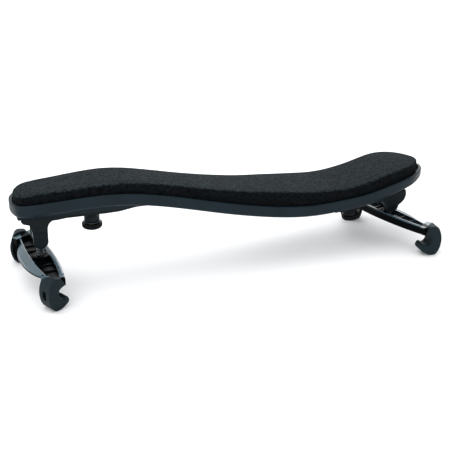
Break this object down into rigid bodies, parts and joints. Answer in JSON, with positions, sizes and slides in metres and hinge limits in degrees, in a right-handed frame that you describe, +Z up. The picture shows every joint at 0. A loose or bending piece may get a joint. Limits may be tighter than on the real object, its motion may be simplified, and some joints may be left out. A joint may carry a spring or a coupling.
{
  "type": "violin shoulder rest",
  "caption": "S-curved padded shell on two sliding, folding, height-adjustable forks whose rubber-booted claws grip the edges of a violin.",
  "frame": {"origin": "centre of the bounding box at table height, where the four claws stand", "axes": "+X along the shell towards its wide, low end; +Y across the shell, away from its straighter edge; +Z up"},
  "size_m": [0.245, 0.0783, 0.0573],
  "materials": {
    "shell": "satin moulded plastic with a fine grain",
    "foam": "closed-cell foam rubber, matt with a fine open grain",
    "bracket": "satin moulded plastic",
    "fork": "semi-gloss moulded plastic",
    "boot": "matt soft rubber",
    "knob": "satin plastic with a finely ribbed edge",
    "steel": "bright zinc-plated steel",
    "brass": "turned brass"
  },
  "bodies": {
    "rest": {"shell": "shell", "foam_pad": "foam"},
    "left_carriage": {"left_slide_bracket": "bracket", "left_clamp_bolt": "steel"},
    "left_washer": {"left_knob_washer": "steel"},
    "left_knob": {"left_clamp_knob": "knob", "left_knob_insert": "brass"},
    "left_leg": {"left_hinge_knuckle": "steel", "left_hinge_pin_front": "steel", "left_hinge_pin_rear": "steel"},
    "left_lift": {"left_fork_post": "steel"},
    "left_fork_turn": {"left_fork": "fork", "left_claw_boot_front": "boot", "left_claw_boot_rear": "boot"},
    "right_carriage": {"right_slide_bracket": "bracket", "right_clamp_bolt": "steel"},
    "right_washer": {"right_knob_washer": "steel"},
    "right_knob": {"right_clamp_knob": "knob", "right_knob_insert": "brass"},
    "right_leg": {"right_hinge_knuckle": "steel", "right_hinge_pin_front": "steel", "right_hinge_pin_rear": "steel"},
    "right_lift": {"right_fork_post": "steel"},
    "right_fork_turn": {"right_fork": "fork", "right_claw_boot_front": "boot", "right_claw_boot_rear": "boot"}
  },
  "joints": [
    {"name": "left_width_slide", "type": "slide", "parent": "rest", "child": "left_carriage", "axis": [-1, 0, 0], "range_m": [-0.008, 0.008]},
    {"name": "left_knob_travel", "type": "slide", "parent": "left_carriage", "child": "left_washer", "axis": [0, 0, -1], "range_m": [0, 0.00105]},
    {"name": "left_knob_turn", "type": "hinge", "parent": "left_washer", "child": "left_knob", "pos_m": [-0.0789, 0.00039, 0.032], "axis": [0, 0, -1], "range_deg": [0, 540.1]},
    {"name": "left_leg_fold", "type": "hinge", "parent": "left_carriage", "child": "left_leg", "pos_m": [-0.1079, 0.00039, 0.0264], "axis": [0, -1, 0], "range_deg": [0, 90]},
    {"name": "left_post_lift", "type": "slide", "parent": "left_leg", "child": "left_lift", "axis": [0, 0, -1], "range_m": [0, 0.00752]},
    {"name": "left_fork_turn", "type": "hinge", "parent": "left_lift", "child": "left_fork_turn", "pos_m": [-0.1079, 0.00039, 0.016], "axis": [0, 0, 1], "range_deg": [0, 1800]},
    {"name": "right_width_slide", "type": "slide", "parent": "rest", "child": "right_carriage", "axis": [0.9799, 0, 0.1994], "range_m": [-0.005, 0.005]},
    {"name": "right_knob_travel", "type": "slide", "parent": "right_carriage", "child": "right_washer", "axis": [0.1994, 0, -0.9799], "range_m": [0, 0.00105]},
    {"name": "right_knob_turn", "type": "hinge", "parent": "right_washer", "child": "right_knob", "pos_m": [0.07534, 0.00039, 0.01603], "axis": [0.1994, 0, -0.9799], "range_deg": [0, 540.1]},
    {"name": "right_leg_fold", "type": "hinge", "parent": "right_carriage", "child": "right_leg", "pos_m": [0.0987, 0.00039, 0.0216], "axis": [0, 1, 0], "range_deg": [0, 38]},
    {"name": "right_post_lift", "type": "slide", "parent": "right_leg", "child": "right_lift", "axis": [0, 0, -1], "range_m": [0, 0.0045]},
    {"name": "right_fork_turn", "type": "hinge", "parent": "right_lift", "child": "right_fork_turn", "pos_m": [0.0987, 0.00039, 0.016], "axis": [0, 0, 1], "range_deg": [-38, 8]}
  ],
  "couplings": [
    {"joint": "left_knob_turn", "follows": "left_knob_travel", "rad_per_m": 8976},
    {"joint": "left_post_lift", "follows": "left_fork_turn", "m_per_rad": 0.00023873},
    {"joint": "right_knob_turn", "follows": "right_knob_travel", "rad_per_m": 8976}
  ]
}
